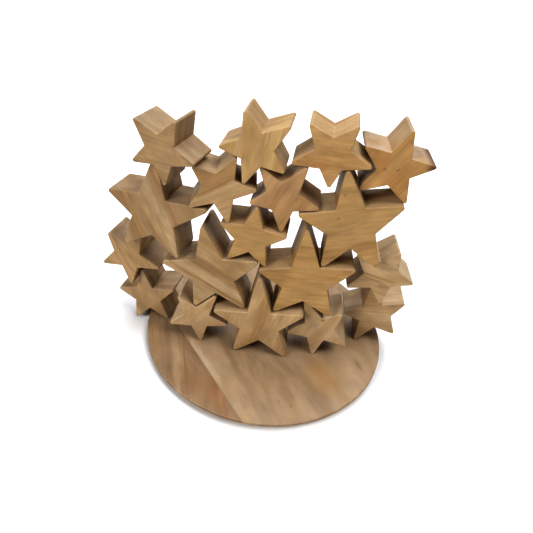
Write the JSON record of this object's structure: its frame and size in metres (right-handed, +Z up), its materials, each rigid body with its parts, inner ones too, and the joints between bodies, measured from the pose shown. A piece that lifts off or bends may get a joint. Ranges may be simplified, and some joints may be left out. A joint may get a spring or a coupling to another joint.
{
  "type": "wooden star stacking puzzle",
  "caption": "Stacking puzzle of thick star-shaped wooden blocks, large and small, balanced as a standing wall on a thin round wooden base; each block can be drawn out or lifted off.",
  "frame": {"origin": "middle of the flat underside of the round base, on the surface it stands on", "axes": "+X to the right along the wall of stars seen from its front, +Y from the front of the wall to its back, +Z up"},
  "size_m": [0.293, 0.24, 0.2414],
  "materials": {
    "star_wood": "sanded and lightly oiled hardwood, honey tan, satin",
    "base_wood_right": "sanded and lightly oiled hardwood board, tan, satin",
    "base_wood_left": "sanded and lightly oiled hardwood board, slightly darker and pinker, satin"
  },
  "bodies": {
    "base": {"base_board_left": "base_wood_left", "base_board_right": "base_wood_right"},
    "top_left": {"star_top_left": "star_wood"},
    "top_mid_left": {"star_top_mid_left": "star_wood"},
    "top_mid_right": {"star_top_mid_right": "star_wood"},
    "top_right": {"star_top_right": "star_wood"},
    "large_left": {"star_large_left": "star_wood"},
    "large_right": {"star_large_right": "star_wood"},
    "upper_left": {"star_upper_left": "star_wood"},
    "upper_mid": {"star_upper_mid": "star_wood"},
    "centre": {"star_centre": "star_wood"},
    "large_mid_left": {"star_large_mid_left": "star_wood"},
    "large_mid_right": {"star_large_mid_right": "star_wood"},
    "left_high": {"star_left_high": "star_wood"},
    "right_high": {"star_right_high": "star_wood"},
    "left_low": {"star_left_low": "star_wood"},
    "bottom_left": {"star_bottom_left": "star_wood"},
    "large_bottom": {"star_large_bottom": "star_wood"},
    "bottom_right": {"star_bottom_right": "star_wood"},
    "right_low": {"star_right_low": "star_wood"}
  },
  "joints": [
    {"name": "lift_top_left", "type": "slide", "parent": "base", "child": "top_left", "axis": [0, 0, 1], "range_m": [0, 0.11]},
    {"name": "lift_top_mid_left", "type": "slide", "parent": "base", "child": "top_mid_left", "axis": [0, 0, 1], "range_m": [0, 0.11]},
    {"name": "pull_top_mid_right", "type": "slide", "parent": "base", "child": "top_mid_right", "axis": [-0.0698, -0.9976, 0], "range_m": [0, 0.06]},
    {"name": "pull_top_right", "type": "slide", "parent": "base", "child": "top_right", "axis": [-0.0175, -0.9998, 0], "range_m": [0, 0.06]},
    {"name": "pull_large_left", "type": "slide", "parent": "base", "child": "large_left", "axis": [-0.225, -0.9744, 0], "range_m": [0, 0.06]},
    {"name": "pull_large_right", "type": "slide", "parent": "base", "child": "large_right", "axis": [-0.0175, -0.9998, 0], "range_m": [0, 0.11]},
    {"name": "pull_upper_left", "type": "slide", "parent": "base", "child": "upper_left", "axis": [0.0872, -0.9962, 0], "range_m": [0, 0.11]},
    {"name": "pull_upper_mid", "type": "slide", "parent": "base", "child": "upper_mid", "axis": [-0.0698, -0.9976, 0], "range_m": [0, 0.06]},
    {"name": "pull_centre", "type": "slide", "parent": "base", "child": "centre", "axis": [-0.0698, -0.9976, 0], "range_m": [0, 0.06]},
    {"name": "pull_large_mid_left", "type": "slide", "parent": "base", "child": "large_mid_left", "axis": [-0.0872, -0.9962, 0], "range_m": [0, 0.06]},
    {"name": "pull_large_mid_right", "type": "slide", "parent": "base", "child": "large_mid_right", "axis": [0.0349, -0.9994, 0], "range_m": [0, 0.06]},
    {"name": "pull_left_high", "type": "slide", "parent": "base", "child": "left_high", "axis": [-0.1908, -0.9816, 0], "range_m": [0, 0.06]},
    {"name": "pull_right_high", "type": "slide", "parent": "base", "child": "right_high", "axis": [0.0175, -0.9998, 0], "range_m": [0, 0.06]},
    {"name": "pull_left_low", "type": "slide", "parent": "base", "child": "left_low", "axis": [-0.1564, -0.9877, 0], "range_m": [0, 0.06]},
    {"name": "pull_bottom_left", "type": "slide", "parent": "base", "child": "bottom_left", "axis": [-0.0523, -0.9986, 0], "range_m": [0, 0.11]},
    {"name": "pull_large_bottom", "type": "slide", "parent": "base", "child": "large_bottom", "axis": [0, -1, 0], "range_m": [0, 0.11]},
    {"name": "pull_bottom_right", "type": "slide", "parent": "base", "child": "bottom_right", "axis": [-0.0175, -0.9998, 0], "range_m": [0, 0.06]},
    {"name": "pull_right_low", "type": "slide", "parent": "base", "child": "right_low", "axis": [-0.0175, -0.9998, 0], "range_m": [0, 0.06]}
  ]
}
